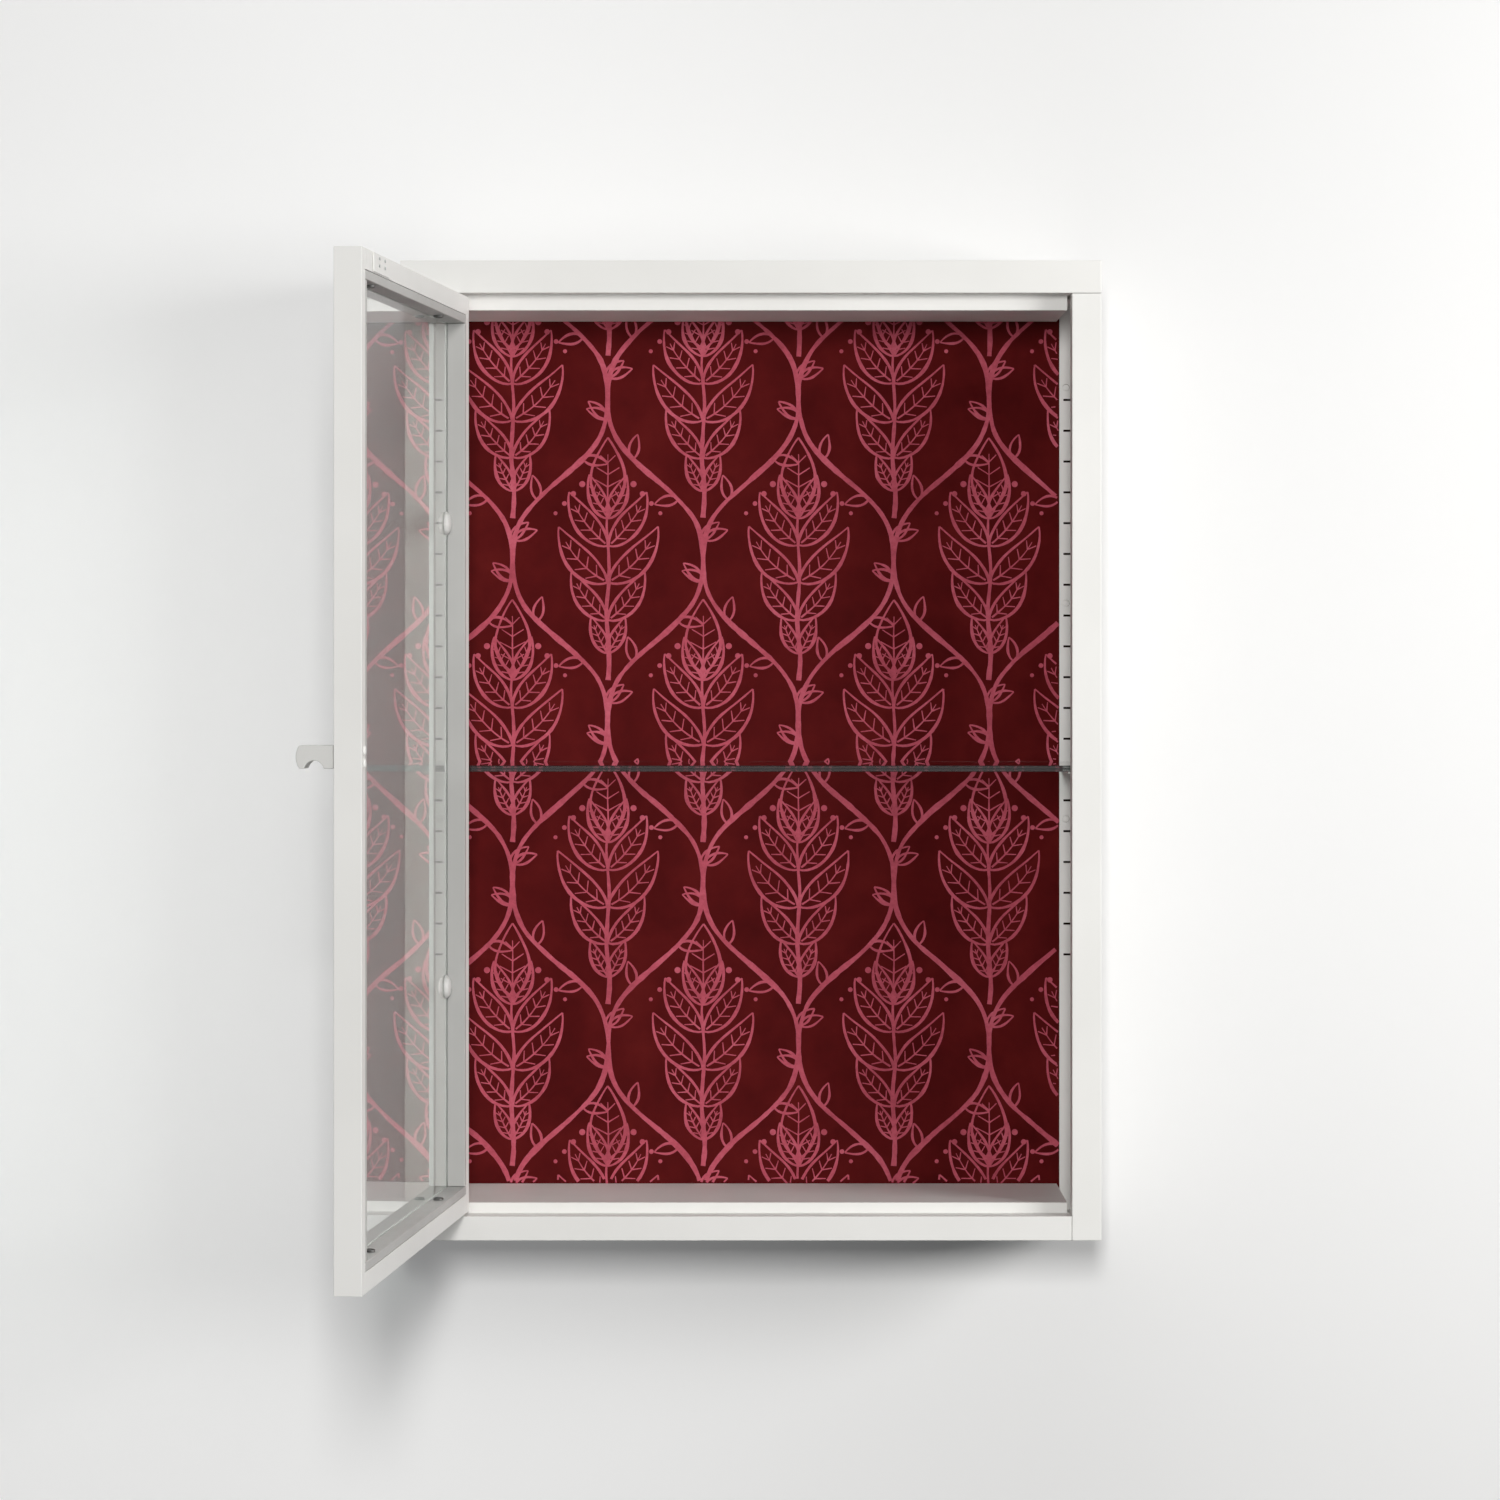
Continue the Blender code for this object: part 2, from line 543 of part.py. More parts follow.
bead_middle = (bead_outer + inner_face) / 2
bead_low = door_top - BAR_FACE - BEAD_FACE
upright_beads = {"hinge": (hinge_edge, 1), "leading": (leading_edge, -1)}
for label, (edge, inward) in upright_beads.items():
    bead = add_object(f"glazing_bead_{label}", box_mesh((
        (edge + inward * (BAR_FACE + FIT), bead_outer, -bead_low + FIT),
        (edge + inward * (BAR_FACE + BEAD_FACE), inner_face, bead_low - FIT))), white_steel, door)
    round_edges(bead, EDGE_ROUND)
bead_screw_xs = {"hinge": hinge_edge + BEAD_SCREW_HINGE, "leading": leading_edge - BEAD_SCREW_LEADING}
for label, end in (("top", 1), ("bottom", -1)):
    bead = add_object(f"glazing_bead_{label}", box_mesh((
        (hinge_edge + BAR_FACE + FIT, bead_outer, end * bead_low),
        (leading_edge - BAR_FACE - FIT, inner_face, end * (door_top - BAR_FACE - FIT)))), white_steel, door)
    round_edges(bead, EDGE_ROUND)
    for place, x in bead_screw_xs.items():
        seat = (x, bead_middle, end * (bead_low - FIT))
        length = FIT + BEAD_FACE + DOOR_SHEET + BEAD_SCREW_BITE
        drill(bead, SCREW_RADIUS + FIT, seat, BEAD_FACE + 2 * FIT, (0, 0, end))
        drill(rails[label], SCREW_RADIUS + FIT, seat, length, (0, 0, end))
        screw(f"bead_screw_{label}_{place}", seat, (0, 0, end), length, dark_steel, door)

# Round buttons on the inside of the glass, beside the hinge bead
button_x = hinge_edge + BAR_FACE + BEAD_FACE + BUTTON_BEAD_GAP + BUTTON_RADIUS
dome = BUTTON_HEIGHT - BUTTON_RIM
button_profile = [(0, 0), (BUTTON_RADIUS, 0)]
for ring in range(BUTTON_RINGS):
    turn = math.pi / 2 * ring / BUTTON_RINGS
    button_profile.append((BUTTON_RADIUS * math.cos(turn), BUTTON_RIM + dome * math.sin(turn)))
button_profile.append((0, BUTTON_HEIGHT))
for label, height in (("upper", BUTTON_SPACING / 2), ("lower", -BUTTON_SPACING / 2)):
    button = turned_mesh(list(reversed(button_profile)), BUTTON_SIDES, (0, 1, 0))
    add_object(f"glass_button_{label}", button, clear_rubber, door, (button_x, glass_inner + FIT, height),
               smooth=True)


def arc_points(chord_start, chord_end, sagitta, steps):
    # Points of a circular arc that bulges to the left of the way from start to end.
    start = Vector(chord_start)
    chord = Vector(chord_end) - start
    half = chord.length / 2
    radius = (half * half + sagitta * sagitta) / (2 * sagitta)
    along = chord.normalized()
    across = Vector((-along.y, along.x))
    centre = start + chord / 2 - across * (radius - sagitta)
    sweep = math.atan2(half, radius - sagitta)
    points = []
    for step in range(steps + 1):
        turn = -sweep + 2 * sweep * step / steps
        points.append(centre + along * radius * math.sin(turn) + across * radius * math.cos(turn))
    return points


# Pull handle on the leading stile, with a finger notch in its underside
handle_half = HANDLE_HEIGHT / 2
handle_outline = [Vector((0, -handle_half))]
handle_outline += arc_points((NOTCH_START, -handle_half), (NOTCH_START + NOTCH_WIDTH, -handle_half),
                             NOTCH_DEPTH, HANDLE_ARC_STEPS)
nose_start = HANDLE_REACH - HANDLE_NOSE
handle_outline += arc_points((nose_start, handle_half), (nose_start, -handle_half),
                             HANDLE_NOSE, HANDLE_ARC_STEPS)[::-1]
handle_outline.append(Vector((0, handle_half)))
handle_face = outer_face - FIT
handle_lead = leading_edge - HANDLE_EDGE_INSET
handle_bm = bmesh.new()
handle_end = handle_bm.faces.new([
    handle_bm.verts.new((handle_lead, handle_face - point.x, HANDLE_RISE + point.y))
    for point in handle_outline])
handle_grown = bmesh.ops.extrude_face_region(handle_bm, geom=[handle_end])
handle_verts = [item for item in handle_grown["geom"] if isinstance(item, bmesh.types.BMVert)]
bmesh.ops.translate(handle_bm, verts=handle_verts, vec=(-HANDLE_WIDTH, 0, 0))
bmesh.ops.recalc_face_normals(handle_bm, faces=handle_bm.faces)
handle = add_object("door_handle", handle_bm, white_steel, door, smooth=True)
round_edges(handle, EDGE_ROUND)
handle_screw_x = leading_edge - BAR_FACE / 2
handle_screw_sizes = (SCREW_RADIUS, HANDLE_SCREW_HEAD_RADIUS, HANDLE_SCREW_HEAD)
for label, offset in (("upper", HANDLE_SCREW_PITCH / 2), ("lower", -HANDLE_SCREW_PITCH / 2)):
    seat = (handle_screw_x, inner_face + FIT, HANDLE_RISE + offset)
    length = FIT + DOOR_DEPTH + FIT + HANDLE_SCREW_BITE
    drill(leading_stile, SCREW_RADIUS + FIT, seat, length, (0, -1, 0))
    drill(handle, SCREW_RADIUS + FIT, seat, length + FIT, (0, -1, 0))
    screw(f"handle_screw_{label}", seat, (0, -1, 0), length, zinc_steel, door, handle_screw_sizes)

# Magnet inside the top rail, held by a plate on the rail's inner face
plate_high = leading_edge - PLATE_EDGE
plate_low = plate_high - PLATE_LENGTH
plate_outer = inner_face + FIT
plate_inner = plate_outer + PLATE_THICKNESS
rail_middle = door_top - BAR_FACE / 2
plate_half = BAR_FACE / 2 - PLATE_MARGIN
plate = add_object("magnet_plate", box_mesh((
    (plate_low, plate_outer, rail_middle - plate_half),
    (plate_high, plate_inner, rail_middle + plate_half))), white_steel, door)
magnet_inner = inner_face - DOOR_SHEET - FIT
magnet_top = door_top - DOOR_SHEET - FIT
magnet_bottom = door_top - BAR_FACE + DOOR_SHEET + BEAD_SCREW_BITE + MAGNET_SCREW_GAP
magnet_middle = (magnet_top + magnet_bottom) / 2
magnet = add_object("door_magnet", box_mesh((
    (plate_low + MAGNET_MARGIN, magnet_inner - MAGNET_THICKNESS, magnet_bottom),
    (plate_high - MAGNET_MARGIN, magnet_inner, magnet_top))), magnet_ferrite, door)
plate_screw_sizes = (PLATE_SCREW_RADIUS, PLATE_SCREW_HEAD_RADIUS, PLATE_SCREW_HEAD)
plate_screw_length = FIT + PLATE_THICKNESS + FIT + DOOR_SHEET + FIT + MAGNET_THICKNESS / 2
for column in range(2):
    for row in range(2):
        number = 2 * column + row + 1
        x = plate_high - PLATE_SCREW_FIRST - column * PLATE_SCREW_PITCH_X
        z = magnet_middle + (0.5 - row) * PLATE_SCREW_PITCH_Z
        seat = (x, plate_inner + FIT, z)
        for drilled in (plate, rails["top"], magnet):
            drill(drilled, PLATE_SCREW_RADIUS + FIT, seat,
                  plate_screw_length + FIT, (0, -1, 0))
        screw(f"magnet_plate_screw_{number}", seat, (0, -1, 0), plate_screw_length, zinc_steel, door,
              plate_screw_sizes)

# Pivot bushes in the ends of the hinge stile
bush_profile = [(bush_bore, BUSH_LENGTH), (bush_radius, BUSH_LENGTH), (bush_radius, 0), (bush_bore, 0)]
for label, end in (("top", 1), ("bottom", -1)):
    seat = (0, 0, end * door_top)
    drill(hinge_stile, bush_radius + FIT, (0, 0, end * (door_top + FIT)),
          DOOR_SHEET + 2 * FIT, (0, 0, -end), PIVOT_SIDES)
    add_object(f"pivot_bush_{label}", turned_mesh(bush_profile, PIVOT_SIDES, (0, 0, -end), ring=True),
               bush_plastic, door, seat, smooth=True)

# Every piece is drilled once, by all of its holes together
for obj, cutters in holes.items():
    boolean(obj, joined_mesh(cutters), "DIFFERENCE", "holes")
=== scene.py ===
import json
import math

import bmesh
import bpy
import numpy
from mathutils import Matrix, Vector, noise

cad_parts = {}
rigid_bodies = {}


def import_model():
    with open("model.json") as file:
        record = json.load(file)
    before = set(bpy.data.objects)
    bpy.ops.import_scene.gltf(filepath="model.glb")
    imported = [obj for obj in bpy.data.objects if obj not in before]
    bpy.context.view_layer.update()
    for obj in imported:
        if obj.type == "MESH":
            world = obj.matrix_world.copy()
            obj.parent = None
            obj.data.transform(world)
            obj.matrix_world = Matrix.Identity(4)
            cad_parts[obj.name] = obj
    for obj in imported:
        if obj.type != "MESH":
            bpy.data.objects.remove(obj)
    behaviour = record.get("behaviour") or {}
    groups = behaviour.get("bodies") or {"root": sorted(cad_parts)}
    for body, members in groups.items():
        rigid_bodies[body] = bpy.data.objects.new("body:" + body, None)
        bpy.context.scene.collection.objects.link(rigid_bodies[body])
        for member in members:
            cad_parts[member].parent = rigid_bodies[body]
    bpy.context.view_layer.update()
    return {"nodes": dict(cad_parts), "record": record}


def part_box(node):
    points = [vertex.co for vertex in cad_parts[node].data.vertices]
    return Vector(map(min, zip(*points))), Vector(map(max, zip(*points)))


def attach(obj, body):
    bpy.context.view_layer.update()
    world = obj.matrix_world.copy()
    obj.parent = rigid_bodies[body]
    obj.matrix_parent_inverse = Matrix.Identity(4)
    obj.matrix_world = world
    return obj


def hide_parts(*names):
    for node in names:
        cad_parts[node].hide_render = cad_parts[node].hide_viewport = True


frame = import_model()
for leftOver in [o for o in bpy.data.objects if o.name in ("Cube", "Light", "Camera")]:
    bpy.data.objects.remove(leftOver)
print("frame loaded:", len(frame["nodes"]), "nodes")


def addNode(tree, kind, **values):
    node = tree.nodes.new(kind)
    for key, value in values.items():
        if hasattr(node, key):
            setattr(node, key, value)
        else:
            node.inputs[key.replace("_", " ")].default_value = value
    return node


def newFinish(name):
    finish = bpy.data.materials.new(name)
    finish.use_nodes = True
    tree = finish.node_tree
    return finish, tree, tree.nodes["Principled BSDF"]


def plug(tree, source, socket):
    if isinstance(source, bpy.types.NodeSocket):
        tree.links.new(source, socket)
    else:
        socket.default_value = source


def objectPlace(tree, stretch=(1, 1, 1)):
    coords = addNode(tree, "ShaderNodeTexCoord")
    mapping = addNode(tree, "ShaderNodeMapping")
    mapping.inputs["Scale"].default_value = stretch
    tree.links.new(coords.outputs["Object"], mapping.inputs["Vector"])
    return mapping.outputs["Vector"]


def grain(tree, place, scale, detail=3.0, rough=0.5):
    tex = addNode(tree, "ShaderNodeTexNoise", Scale=scale, Detail=detail, Roughness=rough)
    tree.links.new(place, tex.inputs["Vector"])
    return tex.outputs["Fac"]


def spread(tree, value, low, high, fromLow=0.3, fromHigh=0.7, curve="LINEAR"):
    node = addNode(tree, "ShaderNodeMapRange", interpolation_type=curve)
    node.inputs["From Min"].default_value = fromLow
    node.inputs["From Max"].default_value = fromHigh
    node.inputs["To Min"].default_value = low
    node.inputs["To Max"].default_value = high
    tree.links.new(value, node.inputs["Value"])
    return node.outputs["Result"]


def tints(tree, value, stops):
    ramp = addNode(tree, "ShaderNodeValToRGB")
    elements = ramp.color_ramp.elements
    while len(elements) < len(stops):
        elements.new(0.5)
    for element, (at, colour) in zip(elements, stops):
        element.position = at
        element.color = (*colour, 1)
    tree.links.new(value, ramp.inputs["Fac"])
    return ramp.outputs["Color"]


def mixTint(tree, factor, first, second):
    node = addNode(tree, "ShaderNodeMix", data_type="RGBA")
    for index, source in ((0, factor), (6, first), (7, second)):       # the colour sockets are 6 and 7
        plug(tree, source, node.inputs[index])
    return node.outputs[2]


def mixShaders(tree, factor, first, second):
    node = addNode(tree, "ShaderNodeMixShader")
    for socket, source in zip(node.inputs, (factor, first, second)):
        tree.links.new(source, socket)
    return node.outputs[0]


def maths(tree, operation, *sources, clamp=False):
    node = addNode(tree, "ShaderNodeMath", operation=operation, use_clamp=clamp)
    for socket, source in zip(node.inputs, sources):
        plug(tree, source, socket)
    return node.outputs[0]


def axisOf(tree, vector, axis):
    split = addNode(tree, "ShaderNodeSeparateXYZ")
    tree.links.new(vector, split.inputs[0])
    return split.outputs[axis]


def relief(tree, shader, height, depth, strength):
    bump = addNode(tree, "ShaderNodeBump", Distance=depth, Strength=strength)
    tree.links.new(height, bump.inputs["Height"])
    tree.links.new(bump.outputs["Normal"], shader.inputs["Normal"])


# finishes

paintLook = {
    "tones": [(0.36, (0.815, 0.809, 0.786)), (0.64, (0.852, 0.846, 0.824))],
    "mottle": 7.0,
    "gloss": (0.40, 0.52),
    "glossGrain": 31.0,
    "peelGrain": 520.0,        # orange peel of the powder coat, bumps per metre
    "peelDepth": 0.00005,
    "peelStrength": 0.22,
}


def powderCoat(name, look):
    finish, tree, shader = newFinish(name)
    place = objectPlace(tree)
    tone = tints(tree, grain(tree, place, look["mottle"], detail=4), look["tones"])
    tree.links.new(tone, shader.inputs["Base Color"])
    gloss = spread(tree, grain(tree, place, look["glossGrain"]), *look["gloss"])
    tree.links.new(gloss, shader.inputs["Roughness"])
    peel = grain(tree, place, look["peelGrain"], detail=2)
    relief(tree, shader, peel, look["peelDepth"], look["peelStrength"])
    return finish


glassLook = {
    "tint": (0.895, 0.912, 0.900),
    "ior": 1.51,
    "smear": (0.0, 0.028),     # roughness of wiped patches
    "smearSize": 11.0,
    "smearStretch": (1, 1, 2.2),
    "smearEdge": (0.42, 0.72),
    "lampTint": (0.90, 0.93, 0.92),
    "arris": 0.0013,           # ground edge of the shelf
    # painted shade: the shelf's edge faces are drawn grey and its arris near black, darker than its clear
    # faces
    "arrisTint": (0.012, 0.016, 0.015),
    "edgeTint": (0.29, 0.295, 0.29),
    "levels": (0.10, 0.30, 0.90, 0.98),      # how level the edge, the arris from and to, and the face lie
}


# painted shade: colours the shelf by the way its faces lie, dark on the edge faces and the arris
def edgeShadeTint(tree, look):
    normal = addNode(tree, "ShaderNodeNewGeometry").outputs["True Normal"]
    level = maths(tree, "ABSOLUTE", axisOf(tree, normal, "Z"))
    colours = (look["edgeTint"], look["arrisTint"], look["arrisTint"], look["tint"])
    return tints(tree, level, list(zip(look["levels"], colours)))


def clearGlass(name, look, shadedEdges=False):
    finish, tree, shader = newFinish(name)
    shader.inputs["Base Color"].default_value = (*look["tint"], 1)
    if shadedEdges:
        tree.links.new(edgeShadeTint(tree, look), shader.inputs["Base Color"])
    shader.inputs["Transmission Weight"].default_value = 1.0
    shader.inputs["IOR"].default_value = look["ior"]
    patches = grain(tree, objectPlace(tree, look["smearStretch"]), look["smearSize"], detail=5, rough=0.6)
    tree.links.new(spread(tree, patches, *look["smear"], *look["smearEdge"]), shader.inputs["Roughness"])
    through = addNode(tree, "ShaderNodeBsdfTransparent", Color=(*look["lampTint"], 1))
    shadowRay = addNode(tree, "ShaderNodeLightPath").outputs["Is Shadow Ray"]
    both = mixShaders(tree, shadowRay, shader.outputs[0], through.outputs[0])
    tree.links.new(both, tree.nodes["Material Output"].inputs["Surface"])
    return finish


boardLook = {
    "reds": [(0.30, (0.060, 0.0042, 0.0046)), (0.52, (0.086, 0.0062, 0.0066)),
             (0.74, (0.110, 0.0092, 0.0088))],
    "cloud": 16.0,
    "browns": [(0.30, (0.125, 0.066, 0.033)), (0.70, (0.235, 0.138, 0.075))],
    "fibre": 420.0,
    "fibreStretch": (1, 1, 0.35),
    "frontFacing": (-0.9, -0.5),             # the printed paper is on the front only
    "paperHalf": 0.2584,       # the paper ends behind the flanges
    "paperEdge": 0.0004,
    "bare": (0.014, 0.008, 0.006),
    "gloss": (0.62, 0.74),
    "glossGrain": 60.0,
    "shine": 0.06,
    "tooth": 900.0,            # paper tooth
    "toothDepth": 0.00004,
    "toothStrength": 0.35,
}


def printedBoard(name, look):
    finish, tree, shader = newFinish(name)
    place = objectPlace(tree)
    reds = tints(tree, grain(tree, place, look["cloud"], detail=6, rough=0.62), look["reds"])
    fibres = grain(tree, objectPlace(tree, look["fibreStretch"]), look["fibre"], detail=5, rough=0.7)
    browns = tints(tree, fibres, look["browns"])
    normal = addNode(tree, "ShaderNodeNewGeometry").outputs["Normal"]
    front = spread(tree, axisOf(tree, normal, "Y"), 1.0, 0.0, *look["frontFacing"])
    reach = maths(tree, "ABSOLUTE", axisOf(tree, place, "X"))
    edge = spread(tree, reach, 0.0, 1.0, look["paperHalf"], look["paperHalf"] + look["paperEdge"])
    face = mixTint(tree, edge, reds, (*look["bare"], 1))
    tree.links.new(mixTint(tree, front, browns, face), shader.inputs["Base Color"])
    gloss = spread(tree, grain(tree, place, look["glossGrain"]), *look["gloss"])
    tree.links.new(gloss, shader.inputs["Roughness"])
    shader.inputs["Specular IOR Level"].default_value = look["shine"]
    relief(tree, shader, grain(tree, place, look["tooth"]), look["toothDepth"], look["toothStrength"])
    return finish


inkLook = {
    "pinks": [(0.28, (0.300, 0.050, 0.072)), (0.50, (0.470, 0.084, 0.122)),
              (0.76, (0.610, 0.142, 0.196))],
    "dryBrush": 260.0,
    "wash": 22.0,
    "gloss": (0.55, 0.68),
    "shine": 0.08,
    "depth": 0.00004,
    "strength": 0.3,
}


def pinkInk(name, look):
    finish, tree, shader = newFinish(name)
    place = objectPlace(tree)
    dry = grain(tree, place, look["dryBrush"], detail=6, rough=0.68)
    wash = grain(tree, place, look["wash"])
    mean = maths(tree, "MULTIPLY", maths(tree, "ADD", dry, wash), 0.5)
    tree.links.new(tints(tree, mean, look["pinks"]), shader.inputs["Base Color"])
    tree.links.new(spread(tree, dry, *look["gloss"]), shader.inputs["Roughness"])
    shader.inputs["Specular IOR Level"].default_value = look["shine"]
    relief(tree, shader, dry, look["depth"], look["strength"])
    return finish


zincLook = {
    "tones": [(0.3, (0.46, 0.47, 0.47)), (0.7, (0.64, 0.645, 0.64))],
    "gloss": (0.26, 0.44),
    "metal": 1.0,
    "grain": (900, 900, 60),
    "depth": 0.00002,
    "strength": 0.4,
}
darkSteelLook = {
    "tones": [(0.3, (0.085, 0.084, 0.082)), (0.7, (0.150, 0.148, 0.143))],
    "gloss": (0.34, 0.52),
    "metal": 0.7,
    "grain": (700, 700, 700),
    "depth": 0.00002,
    "strength": 0.4,
}
nylonLook = {
    "tones": [(0.3, (0.60, 0.59, 0.55)), (0.7, (0.68, 0.67, 0.63))],
    "gloss": (0.42, 0.58),
    "metal": 0.0,
    "grain": (500, 500, 500),
    "depth": 0.00003,
    "strength": 0.4,
}
ferriteLook = {
    "tones": [(0.3, (0.030, 0.028, 0.027)), (0.7, (0.060, 0.056, 0.053))],
    "gloss": (0.5, 0.7),
    "metal": 0.1,
    "grain": (800, 800, 800),
    "depth": 0.00006,
    "strength": 0.4,
}


def hardFinish(name, look):
    finish, tree, shader = newFinish(name)
    tex = grain(tree, objectPlace(tree, look["grain"]), 1.0, detail=4, rough=0.6)
    tree.links.new(tints(tree, tex, look["tones"]), shader.inputs["Base Color"])
    tree.links.new(spread(tree, tex, *look["gloss"]), shader.inputs["Roughness"])
    shader.inputs["Metallic"].default_value = look["metal"]
    relief(tree, shader, tex, look["depth"], look["strength"])
    return finish


rubberLook = {
    "tones": [(0.3, (0.79, 0.785, 0.765)), (0.7, (0.87, 0.865, 0.845))],
    "gloss": (0.28, 0.42),
    "milky": 0.25,
    "ior": 1.45,
    "grain": 340.0,
    "depth": 0.00002,
    "strength": 0.3,
}


def clearRubber(name, look):
    finish, tree, shader = newFinish(name)
    tex = grain(tree, objectPlace(tree), look["grain"])
    tree.links.new(tints(tree, tex, look["tones"]), shader.inputs["Base Color"])
    tree.links.new(spread(tree, tex, *look["gloss"]), shader.inputs["Roughness"])
    shader.inputs["Transmission Weight"].default_value = look["milky"]
    shader.inputs["IOR"].default_value = look["ior"]
    relief(tree, shader, tex, look["depth"], look["strength"])
    return finish


finishes = {
    "white_steel": powderCoat("white_powder_coat", paintLook),
    "clear_glass": clearGlass("clear_pane", glassLook),
    "red_board": printedBoard("red_printed_board", boardLook),
    "zinc_steel": hardFinish("zinc_plate", zincLook),
    "dark_steel": hardFinish("dark_steel", darkSteelLook),
    "clear_rubber": clearRubber("clear_bumper", rubberLook),
    "bush_plastic": hardFinish("white_nylon", nylonLook),
    "magnet_ferrite": hardFinish("ferrite", ferriteLook),
}
slotOf = {row["node"]: row["material_slot"] for row in frame["record"]["subparts"]}
for nodeName, node in frame["nodes"].items():
    node.data.materials.clear()
    node.data.materials.append(finishes[slotOf[nodeName]])

greyerTones = {                  # pieces drawn greyer than the frame, by the start of their names; on the glazing beads the grey is painted shade
    "door_handle": [(0.36, (0.640, 0.637, 0.618)), (0.64, (0.695, 0.692, 0.672))],
    # painted shade: the glazing beads are white, and this darker grey stands in for the shade that falls on
    # them
    "glazing_bead": [(0.36, (0.450, 0.446, 0.433)), (0.64, (0.510, 0.506, 0.492))],
}
for start, tones in greyerTones.items():
    greyedFinish = powderCoat(start + "_coat", {**paintLook, "tones": tones})
    for nodeName, node in frame["nodes"].items():
        if nodeName.startswith(start):
            node.data.materials[0] = greyedFinish

shelf = frame["nodes"]["glass_shelf"]
# the shelf's edges carry painted shade
shelf.data.materials[0] = clearGlass("shelf_pane", glassLook, shadedEdges=True)
arris = shelf.modifiers.new("arris", "BEVEL")
arris.width, arris.segments, arris.limit_method = glassLook["arris"], 1, "ANGLE"
print("finishes:", len(finishes), "and", len(greyerTones), "greyer tones")


# screws with a turned head, a cross recess and a thread

screwLook = {
    "sides": 40,
    "domeSteps": 7,
    "rimShare": 0.42,          # straight part of the head's height
    "crossReach": 0.64,        # of the head's radius
    "crossWidth": 0.24,
    "crossDepth": 0.66,        # of the head's height
    "crossTaper": 0.55,
    "crossStart": 1.15,        # the cutter begins above the head
    "crossTurn": 0.4,
    "pitch": 0.0009,
    "threadDepth": 0.16,
    "threadShape": ((0.25, 0), (0.6, 1), (0.95, 0)),      # share of a turn, share of the depth
    "tipShare": 0.10,
    "tipRadius": 0.62,
    "sharpAngle": 38,
    "painted": ("handle_screw_upper", "handle_screw_lower"),     # heads coated with the door
}
cutScale = 1000                # recesses are cut at the size of millimetres
rimBand = 0.97                 # points this far out are on the head's rim
endBand = 1e-5                 # points this near the end are on the tip


def measureTurned(node):
    points = numpy.array([tuple(node.matrix_world @ v.co) for v in node.data.vertices])
    points = numpy.unique(points.round(7), axis=0)
    centre = points.mean(0)
    values, axes = numpy.linalg.eigh(numpy.cov((points - centre).T))
    axis = axes[:, 2] if values[2] - values[1] > values[1] - values[0] else axes[:, 0]
    along = (points - centre) @ axis
    out = numpy.linalg.norm(points - centre - numpy.outer(along, axis), axis=1)
    rim = out > rimBand * out.max()
    if along[rim].mean() > (along.min() + along.max()) / 2:
        axis, along = -axis, -along
    seat = along[rim].max()
    shank = out[along > along.max() - endBand].max()
    return {"seat": Vector(centre + axis * seat), "axis": Vector(axis), "length": along.max() - seat,
            "head": seat - along.min(), "headRadius": out.max(), "radius": shank}


def placeAt(point, axis):
    return Matrix.Translation(point) @ axis.to_track_quat("Z", "Y").to_matrix().to_4x4()


def turned(profile, sides):
    bm = bmesh.new()
    rings = []
    for r, t in profile:
        count = sides if r else 1
        rings.append([bm.verts.new((r * math.cos(a), r * math.sin(a), t))
                      for a in (math.tau * k / count for k in range(count))])
    for first, second in zip(rings, rings[1:]):
        for k in range(max(len(first), len(second))):
            corners = [first[k % len(first)], first[(k + 1) % len(first)],
                       second[(k + 1) % len(second)], second[k % len(second)]]
            bm.faces.new(list(dict.fromkeys(corners)))
    bmesh.ops.recalc_face_normals(bm, faces=bm.faces)
    return bm


def turnedScrew(size, look):
    length, radius, reach, head = (cutScale * size[k] for k in ("length", "radius", "headRadius", "head"))
    pitch, tip = cutScale * look["pitch"], length * look["tipShare"]
    rim, steps = look["rimShare"], look["domeSteps"]
    profile = [(0, -head)]
    for k in range(1, steps + 1):
        a = math.pi / 2 * (1 - k / steps)
        profile.append((reach * math.cos(a), -head * (rim + (1 - rim) * math.sin(a))))
    profile += [(reach, 0), (radius, 0)]
    turns = max(1, int((length - tip) / pitch))
    for k in range(turns):
        for share, cut in look["threadShape"]:
            profile.append((radius * (1 - cut * look["threadDepth"]), (k + share) * (length - tip) / turns))
    profile += [(radius * look["tipRadius"], length), (0, length)]
    return turned(profile, look["sides"])


def crossCutter(size, look, turn):
    reach, head = cutScale * size["headRadius"], cutScale * size["head"]
    half, wide = reach * look["crossReach"], reach * look["crossWidth"] / 2
    bm = bmesh.new()
    bmesh.ops.create_cube(bm, size=2)
    for v in bm.verts:
        low = v.co.z > 0
        taper = look["crossTaper"] if low else 1.0
        v.co = Vector((v.co.x * half * taper, v.co.y * wide * taper,
                       -head * (1 - look["crossDepth"]) if low else -head * look["crossStart"]))
    bmesh.ops.recalc_face_normals(bm, faces=bm.faces)
    bm.transform(Matrix.Rotation(turn, 4, "Z"))
    return bm


def meshObject(name, bm):
    mesh = bpy.data.meshes.new(name)
    bm.to_mesh(mesh)
    bm.free()
    made = bpy.data.objects.new(name, mesh)
    bpy.context.scene.collection.objects.link(made)
    return made


def screwMesh(name, size, look):
    blank = meshObject(name, turnedScrew(size, look))
    turns = (look["crossTurn"], look["crossTurn"] + math.pi / 2)
    cutters = [meshObject("cutter", crossCutter(size, look, turn)) for turn in turns]
    for cutter in cutters:
        cut = blank.modifiers.new("recess", "BOOLEAN")
        cut.object, cut.operation, cut.solver = cutter, "DIFFERENCE", "EXACT"
    ready = blank.evaluated_get(bpy.context.evaluated_depsgraph_get())
    mesh = bpy.data.meshes.new_from_object(ready)
    for used in [blank] + cutters:
        bpy.data.objects.remove(used)
    mesh.shade_smooth()
    mesh.set_sharp_from_angle(angle=math.radians(look["sharpAngle"]))
    return mesh


